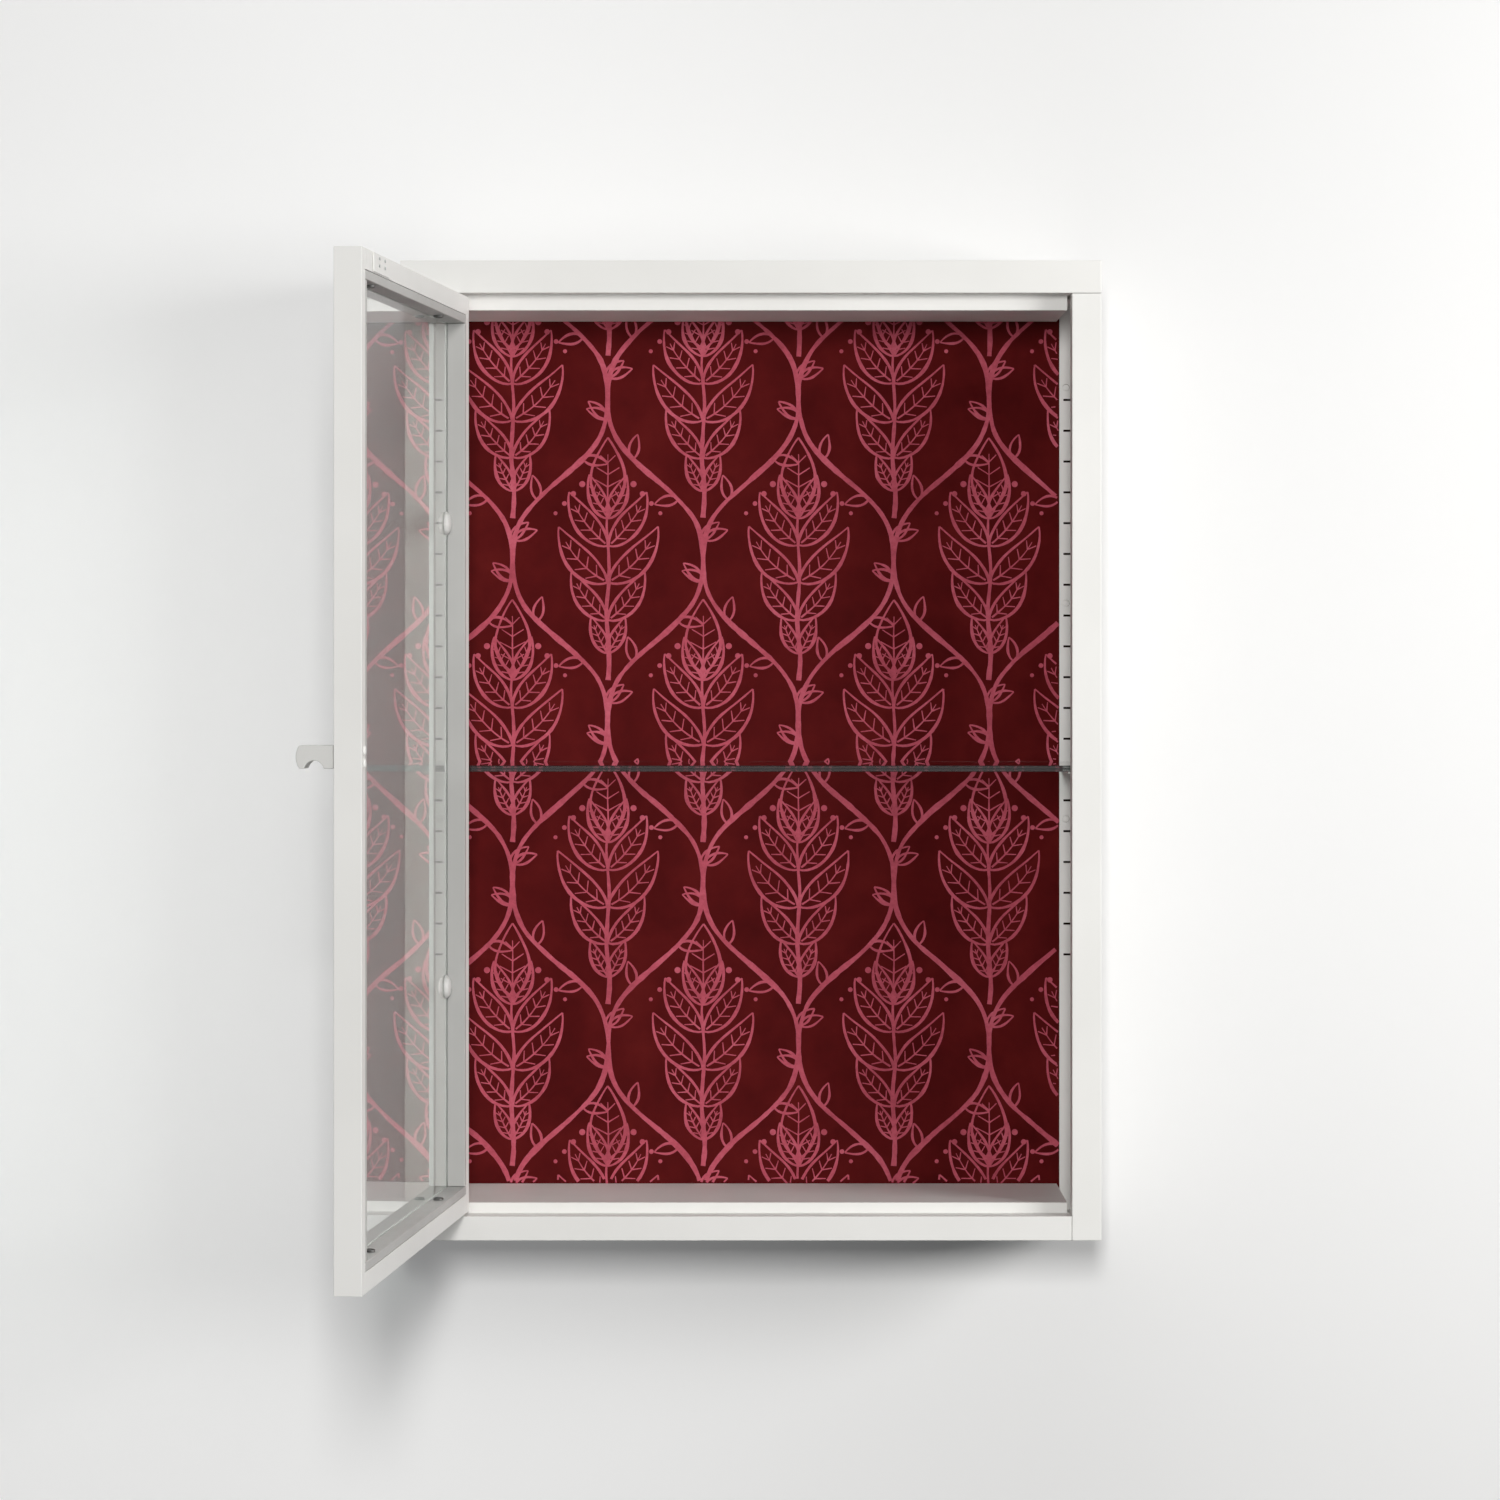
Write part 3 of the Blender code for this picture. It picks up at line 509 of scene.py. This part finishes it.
def standFor(piece, nodeName, slot=None):
    slot = slot or slotOf[nodeName]
    piece.data.materials.clear()
    piece.data.materials.append(finishes[slot])
    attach(piece, frame["nodes"][nodeName].parent.name.split(":")[1])
    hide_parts(nodeName)


def cutScrews(look):
    made = 0
    for nodeName, node in list(frame["nodes"].items()):
        if "_screw" not in nodeName:
            continue
        size = measureTurned(node)
        mesh = screwMesh(nodeName + "_turned", size, look)
        mesh.transform(placeAt(size["seat"], size["axis"]) @ Matrix.Scale(1 / cutScale, 4))
        screw = bpy.data.objects.new(nodeName + "_turned", mesh)
        bpy.context.scene.collection.objects.link(screw)
        standFor(screw, nodeName, "white_steel" if nodeName in look["painted"] else None)
        made += 1
    print("screws:", made)


cutScrews(screwLook)


# buttons with a rim, a groove and a shallow dome

buttonLook = {
    "nodes": ("glass_button_upper", "glass_button_lower"),
    "sides": 72,
    "heightShare": 0.52,       # of the solid's height: the glass mirrors the button and doubles it
    "rimShare": 0.30,
    "rimShape": ((0.95, 0), (0.99, 0.06), (1, 0.2), (1, 0.74),
                 (0.985, 0.92), (0.955, 1), (0.925, 0.97)),      # shares of the radius and of the rim
    "grooveReach": 0.87,
    "grooveDepth": 0.0004,
    "domeReach": 0.90,
    "domeSteps": 15,
    "dish": 0.0002,
}


def turnButtons(look):
    for nodeName in look["nodes"]:
        size = measureTurned(frame["nodes"][nodeName])
        reach, high = size["headRadius"], (size["head"] + size["length"]) * look["heightShare"]
        rim = high * look["rimShare"]
        profile = [(0, 0)] + [(out * reach, up * rim) for out, up in look["rimShape"]]
        profile.append((look["grooveReach"] * reach, rim - look["grooveDepth"]))
        for k in range(1, look["domeSteps"]):
            a = math.pi / 2 * k / look["domeSteps"]
            profile.append((look["domeReach"] * reach * math.cos(a), rim + (high - rim) * math.sin(a)))
        profile.append((0, high - look["dish"]))
        button = meshObject(nodeName + "_turned", turned(profile, look["sides"]))
        button.data.transform(placeAt(size["seat"] - size["axis"] * size["head"], size["axis"]))
        button.data.shade_smooth()
        standFor(button, nodeName)
    print("buttons:", len(look["nodes"]))


turnButtons(buttonLook)


# leaf and trellis print on the board

printLook = {
    "cellWidth": 0.160,
    "cellHeight": 0.272,
    "shiftUp": 0.020,
    "columns": 4,              # to each side of the middle
    "rows": 3,
    "sideMargin": 0.0222,
    "endMargin": 0.026,
    "step": 0.0040,            # length of one piece of a stroke
    "curveParts": 14,          # pieces that a short curved stroke keeps
    "ink": 0.00014,            # stands this far off the board
    "sink": 0.00005,
    "layers": 211,
    "layerStep": 0.0000008,
    "seed": 7,                 # of the wobble
    "wobble": 0.0007,
    "wobbleGrain": 38,
    "wobbleSlice": 3.1,
    "swell": 0.28,             # how much a stroke's width varies
    "swellGrain": 150,
    "swellSlice": 9.7,
    "thinnest": 0.0004,
    "dotSides": 14,
}


class Brush:
    def __init__(self, look):
        self.look = look
        self.mesh = bmesh.new()
        low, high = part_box("back_panel")
        self.boardFront = low.y
        self.low = (low.x + look["sideMargin"], low.z + look["endMargin"])
        self.high = (high.x - look["sideMargin"], high.z - look["endMargin"])
        self.layer = 0

    def inside(self, p):
        return self.low[0] < p[0] < self.high[0] and self.low[1] < p[1] < self.high[1]

    def nextHeights(self):
        look = self.look
        self.layer = (self.layer + 1) % look["layers"]      # strokes that cross don't lie at one height
        return self.boardFront - look["ink"] - look["layerStep"] * self.layer, self.boardFront + look["sink"]

    def shaken(self, p, width):
        look = self.look
        coarse, fine = look["wobbleGrain"], look["swellGrain"]
        shake = noise.noise_vector(Vector((p.x * coarse, p.y * coarse, look["wobbleSlice"]))) * look["wobble"]
        width *= 1 + look["swell"] * noise.noise(Vector((p.x * fine, p.y * fine, look["swellSlice"])))
        return p + shake.xy, max(width, look["thinnest"])

    def stroke(self, line, widths):
        line = [Vector(p) for p in line]
        lengths = [0.0]
        for a, b in zip(line, line[1:]):
            lengths.append(lengths[-1] + (b - a).length)
        total = lengths[-1]
        count = max(3, int(total / self.look["step"]), min(len(line) - 1, self.look["curveParts"]))
        rib, at = [], 0
        for i in range(count + 1):
            s = total * i / count
            while at < len(lengths) - 2 and lengths[at + 1] < s:
                at += 1
            part = (s - lengths[at]) / max(lengths[at + 1] - lengths[at], 1e-9)
            p = line[at].lerp(line[at + 1], min(max(part, 0), 1))
            t = i / count * (len(widths) - 1)
            k = min(int(t), len(widths) - 2)
            rib.append(self.shaken(p, widths[k] + (widths[k + 1] - widths[k]) * (t - k)))
        top, bottom = self.nextHeights()
        run = []
        for i, (p, width) in enumerate(rib):
            if self.inside(p):
                ahead = rib[min(i + 1, count)][0] - rib[max(i - 1, 0)][0]
                side = Vector((-ahead.y, ahead.x)).normalized() * (width / 2)
                run.append((p + side, p - side))
            if run and (i == count or not self.inside(p)):
                if len(run) > 1:
                    self.ribbon(run, top, bottom)
                run = []

    def ribbon(self, run, top, bottom):
        new = self.mesh.verts.new
        rings = [[new((a.x, top, a.y)), new((b.x, top, b.y)),
                  new((b.x, bottom, b.y)), new((a.x, bottom, a.y))] for a, b in run]
        for first, second in zip(rings, rings[1:]):
            for k in range(4):
                self.mesh.faces.new((first[k], first[(k + 1) % 4], second[(k + 1) % 4], second[k]))
        self.mesh.faces.new(rings[0][::-1])
        self.mesh.faces.new(rings[-1])

    def dot(self, centre, radius):
        if not self.inside(centre):
            return
        top, bottom = self.nextHeights()
        sides = self.look["dotSides"]
        turn = [(centre[0] + radius * math.cos(a), centre[1] + radius * math.sin(a))
                for a in (math.tau * k / sides for k in range(sides))]
        upper = [self.mesh.verts.new((x, top, z)) for x, z in turn]
        lower = [self.mesh.verts.new((x, bottom, z)) for x, z in turn]
        self.mesh.faces.new(upper)
        self.mesh.faces.new(lower[::-1])
        for k in range(sides):
            self.mesh.faces.new((upper[k], lower[k], lower[(k + 1) % sides], upper[(k + 1) % sides]))


leafLook = {
    "parts": 18,
    "belly": 0.8,              # below 1 the leaf is widest nearer its base
    "fullness": 0.9,
    "leftWidths": (0.0026, 0.0021, 0.0012),
    "rightWidths": (0.0016, 0.0030, 0.0014),
    "ribWidths": (0.0016, 0.0012, 0.0007),
    "ribSpan": (1, 15),
    "veins": (4, 7, 10, 13),
    "veinReach": 0.74,
    "veinWidths": (0.0011, 0.0008),
}


def leafLines(base, angle, length, width, bend, count, look):
    left, right, rib = [], [], []
    p, heading = Vector(base), angle
    for i in range(count + 1):
        t = i / count
        side = Vector((-math.sin(heading), math.cos(heading)))
        swell = width * math.sin(math.pi * t ** look["belly"]) ** look["fullness"] if 0 < t < 1 else 0.0
        left.append(p + side * swell)
        right.append(p - side * swell)
        rib.append(p.copy())
        p = p + Vector((math.cos(heading), math.sin(heading))) * (length / count)
        heading += bend / count
    return left, right, rib


def leaf(brush, base, angle, length, width, bend, mirror, look):
    left, right, rib = leafLines((0, 0), angle, length, width, bend, look["parts"], look)
    place = Vector(base)

    def put(points):
        return [place + Vector((-q.x if mirror else q.x, q.y)) for q in points]

    brush.stroke(put(left), look["leftWidths"])
    brush.stroke(put(right), look["rightWidths"])
    brush.stroke(put(rib[slice(*look["ribSpan"])]), look["ribWidths"])
    for i in look["veins"]:
        for edge in (left, right):
            brush.stroke(put([rib[i - 1], rib[i].lerp(edge[i + 1], look["veinReach"])]), look["veinWidths"])


sprayLook = {
    "foot": 0.37,              # below and above the cell's middle, shares of its height
    "tip": 0.15,
    "stemParts": 12,
    "stemSway": 0.0012,
    "stemWidths": (0.0042, 0.0032, 0.0017),
    "pairs": [                 # share of the stem, angle, length, width, bend
        (0.16, 0.98, 0.034, 0.0058, 0.35),
        (0.36, 0.62, 0.052, 0.0088, 0.65),
        (0.58, 0.50, 0.064, 0.0108, 0.72),
        (0.80, 0.66, 0.056, 0.0096, 0.60),
        (0.96, 1.00, 0.040, 0.0070, 0.36),
    ],
    "budLength": 0.062,        # closed bud on top
    "budWidth": 0.0145,
    "dots": 4,                 # in a falling row at each side of the bud
    "dotOut": (0.0215, 0.0075),              # of the first one, and the step to the next
    "dotUp": (0.235, 0.030),
    "dotRadius": (0.0026, 0.0003),
}


def spray(brush, centre, height, look):
    cx, cz = centre
    foot, tip = cz - look["foot"] * height, cz + look["tip"] * height
    parts = look["stemParts"]
    stem = [(cx + look["stemSway"] * math.sin(k), foot + (tip - foot) * k / parts) for k in range(parts + 1)]
    brush.stroke(stem, look["stemWidths"])
    for share, angle, length, width, bend in look["pairs"]:
        for mirror in (False, True):
            leaf(brush, (cx, foot + (tip - foot) * share), angle, length, width, bend, mirror, leafLook)
    leaf(brush, (cx, tip), math.pi / 2, look["budLength"], look["budWidth"], 0.0, False, leafLook)
    (out, outStep), (up, upStep), (radius, radiusStep) = look["dotOut"], look["dotUp"], look["dotRadius"]
    for side in (-1, 1):
        for k in range(look["dots"]):
            place = (cx + side * (out + outStep * k), cz + height * (up - upStep * k))
            brush.dot(place, radius - radiusStep * k)


vineLook = {
    "start": -0.42,
    "step": 0.004,
    "points": 211,
    "ripple": 0.07,            # share of a third wave in the bends
    "rippleScale": 0.93,
    "widths": [0.0044, 0.0030, 0.0048, 0.0034] * 6,
    "leavesPerCell": 8,
    "leafSpan": 16,            # leaves up and down from the middle
    "leafLength": 0.021,
    "leafWidth": 0.0042,
    "leafParts": 10,
    "leafAngle": 0.85,
    "leafBend": 0.3,
    "leafWidths": (0.0016, 0.0022, 0.0011),
    "slopeReach": 0.002,
}


def vine(brush, k, cell, look):
    width, height, shift = cell["cellWidth"], cell["cellHeight"], cell["shiftUp"]

    def wave(z):
        a = math.tau * (z - shift) / height
        bend = math.cos(a) - look["ripple"] * math.cos(3 * a)
        return k * width / 2 + (-1) ** k * width / 4 * bend / look["rippleScale"]

    steps = [look["start"] + look["step"] * i for i in range(look["points"])]
    brush.stroke([(wave(z), z) for z in steps], look["widths"])
    for i in range(-look["leafSpan"], look["leafSpan"] + 1):
        z = shift + height * (i + 0.5) / look["leavesPerCell"]
        reach, way = look["slopeReach"], 1 if i % 2 else -1
        slope = (wave(z + reach) - wave(z - reach)) / (2 * reach)
        angle = math.atan2(1, slope) + way * look["leafAngle"]
        left, right, _ = leafLines((wave(z), z), angle, look["leafLength"], look["leafWidth"],
                                   way * look["leafBend"], look["leafParts"], leafLook)
        brush.stroke(left, look["leafWidths"])
        brush.stroke(right, look["leafWidths"])


def drawPrint(look):
    noise.seed_set(look["seed"])
    brush = Brush(look)
    width, height, columns, rows = (look[k] for k in ("cellWidth", "cellHeight", "columns", "rows"))
    for k in range(-columns, columns + 1):
        vine(brush, k, look, vineLook)
    for k in range(-columns - 1, columns + 1):
        for row in range(-rows, rows + 1):
            z = look["shiftUp"] + height * (row + (0.5 if k % 2 == 0 else 0.0))
            spray(brush, ((k + 0.5) * width / 2, z), height, sprayLook)
    bmesh.ops.recalc_face_normals(brush.mesh, faces=brush.mesh.faces)
    board = meshObject("board_print", brush.mesh)
    board.data.materials.append(pinkInk("pink_ink", inkLook))
    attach(board, "cabinet")
    print("print:", len(board.data.polygons), "faces")


drawPrint(printLook)


# wall, floor, light and camera

stageLook = {
    "wall": (0.845, 0.845, 0.845),
    "wallGlow": (0.17, 0.0),   # evens out the backdrop for rays that look at it, left and right
    "floor": (0.66, 0.66, 0.655),
    "floorGlow": (0.34, 0.34),
    "glowSpan": (-0.4, 0.35),
    "mottle": 3.0,
    "mottleShare": 0.99,
    "roughness": 0.9,
    "reach": 5.0,
    "wallGap": 0.0006,
    "floorDrop": 1.15,
}


def seenRays(tree):
    path = addNode(tree, "ShaderNodeLightPath").outputs
    total = path["Is Camera Ray"]
    for kind in ("Is Glossy Ray", "Is Transmission Ray"):
        total = maths(tree, "ADD", total, path[kind], clamp=True)
    straight = maths(tree, "LESS_THAN", path["Diffuse Depth"], 0.5)     # none that left a matt surface first
    return maths(tree, "MULTIPLY", total, straight)


def stagePaint(name, colour, glow, look):
    finish, tree, shader = newFinish(name)
    place = objectPlace(tree)
    low = tuple(c * look["mottleShare"] for c in colour)
    tone = tints(tree, grain(tree, place, look["mottle"], detail=2), [(0.3, low), (0.7, colour)])
    tree.links.new(tone, shader.inputs["Base Color"])
    shader.inputs["Roughness"].default_value = look["roughness"]
    shader.inputs["Specular IOR Level"].default_value = 0.0
    fade = spread(tree, axisOf(tree, place, "X"), *glow, *look["glowSpan"], curve="SMOOTHSTEP")
    shader.inputs["Emission Color"].default_value = (1, 1, 1, 1)
    tree.links.new(maths(tree, "MULTIPLY", seenRays(tree), fade), shader.inputs["Emission Strength"])
    backside = addNode(tree, "ShaderNodeNewGeometry").outputs["Backfacing"]      # clear from behind
    clear = addNode(tree, "ShaderNodeBsdfTransparent").outputs[0]
    both = mixShaders(tree, backside, shader.outputs[0], clear)
    tree.links.new(both, tree.nodes["Material Output"].inputs["Surface"])
    return finish


def buildStage(look):
    r, drop, gap = look["reach"], -look["floorDrop"], look["wallGap"]
    sheets = {
        "wall": [(-r, gap, drop), (r, gap, drop), (r, gap, r), (-r, gap, r)],
        "floor": [(-r, -r, drop), (r, -r, drop), (r, r, drop), (-r, r, drop)],
    }
    for name, corners in sheets.items():
        mesh = bpy.data.meshes.new(name)
        mesh.from_pydata(corners, [], [(0, 1, 2, 3)])
        mesh.materials.append(stagePaint(name + "_paint", look[name], look[name + "Glow"], look))
        sheet = bpy.data.objects.new(name, mesh)
        bpy.context.scene.collection.objects.link(sheet)
        sheet.visible_diffuse = False                  # throws no light back on the cabinet
        sheet.visible_shadow = False


lightLook = {
    "softboxes": [             # name, place, wide, high, level on a white card facing it, mirrored in gloss
        ("frontBox", (-0.04, -4.50, 0.72), 0.40, 0.80, 0.50, False),
        ("keyBox", (1.90, -1.45, 0.36), 0.90, 0.80, 0.54, True),
        ("sideBox", (2.85, -0.77, 0.52), 1.00, 0.70, 0.14, True),
        ("topBox", (0.00, 0.25, 3.00), 1.00, 0.50, 0.24, True),
        ("rearBox", (-2.20, 2.60, 1.00), 1.20, 1.20, 0.44, False),
    ],
    "aim": (0, -0.1, 0),
    "warm": (1.0, 0.993, 0.978),
    "roomLevel": 0.11,
    "room": (0.97, 0.985, 1.0),
    "background": 0.94,
}


def hangSoftboxes(look):
    for name, place, wide, high, level, mirrored in look["softboxes"]:
        lamp = bpy.data.lights.new(name, "AREA")
        lamp.shape = "RECTANGLE"
        lamp.size, lamp.size_y = wide, high
        away = Vector(place) - Vector(look["aim"])
        lamp.energy = level * math.pi ** 2 * away.length_squared
        lamp.color = look["warm"]
        box = bpy.data.objects.new(name, lamp)
        box.location = place
        box.rotation_euler = (-away).to_track_quat("-Z", "Y").to_euler()
        box.visible_glossy = mirrored
        box.visible_transmission = False
        bpy.context.scene.collection.objects.link(box)


def lightRoom(look):
    world = bpy.data.worlds.new("studio")
    bpy.context.scene.world = world
    world.use_nodes = True
    tree = world.node_tree
    tree.nodes.clear()
    room = addNode(tree, "ShaderNodeBackground", Color=(*look["room"], 1), Strength=look["roomLevel"])
    seen = addNode(tree, "ShaderNodeBackground", Color=(1, 1, 1, 1), Strength=look["background"])
    both = mixShaders(tree, seenRays(tree), room.outputs[0], seen.outputs[0])
    tree.links.new(both, addNode(tree, "ShaderNodeOutputWorld").inputs[0])


cameraLook = {
    "place": (-0.0007, -4.053, 0.089),
    "lens": 115.7,
    "sensor": 36.0,
    "shiftUp": -0.0733,
    "sight": 60,
}


def setCamera(look):
    data = bpy.data.cameras.new("camera")
    data.lens, data.sensor_width = look["lens"], look["sensor"]
    data.shift_y = look["shiftUp"]
    data.clip_end = look["sight"]
    camera = bpy.data.objects.new("camera", data)
    camera.matrix_world = Matrix.Translation(look["place"]) @ Matrix.Rotation(math.pi / 2, 4, "X")
    bpy.context.scene.collection.objects.link(camera)
    bpy.context.scene.camera = camera


buildStage(stageLook)
hangSoftboxes(lightLook)
lightRoom(lightLook)
setCamera(cameraLook)
bpy.context.scene.view_settings.view_transform = "Standard"
print("stage, light and camera set")

bpy.context.view_layer.update()
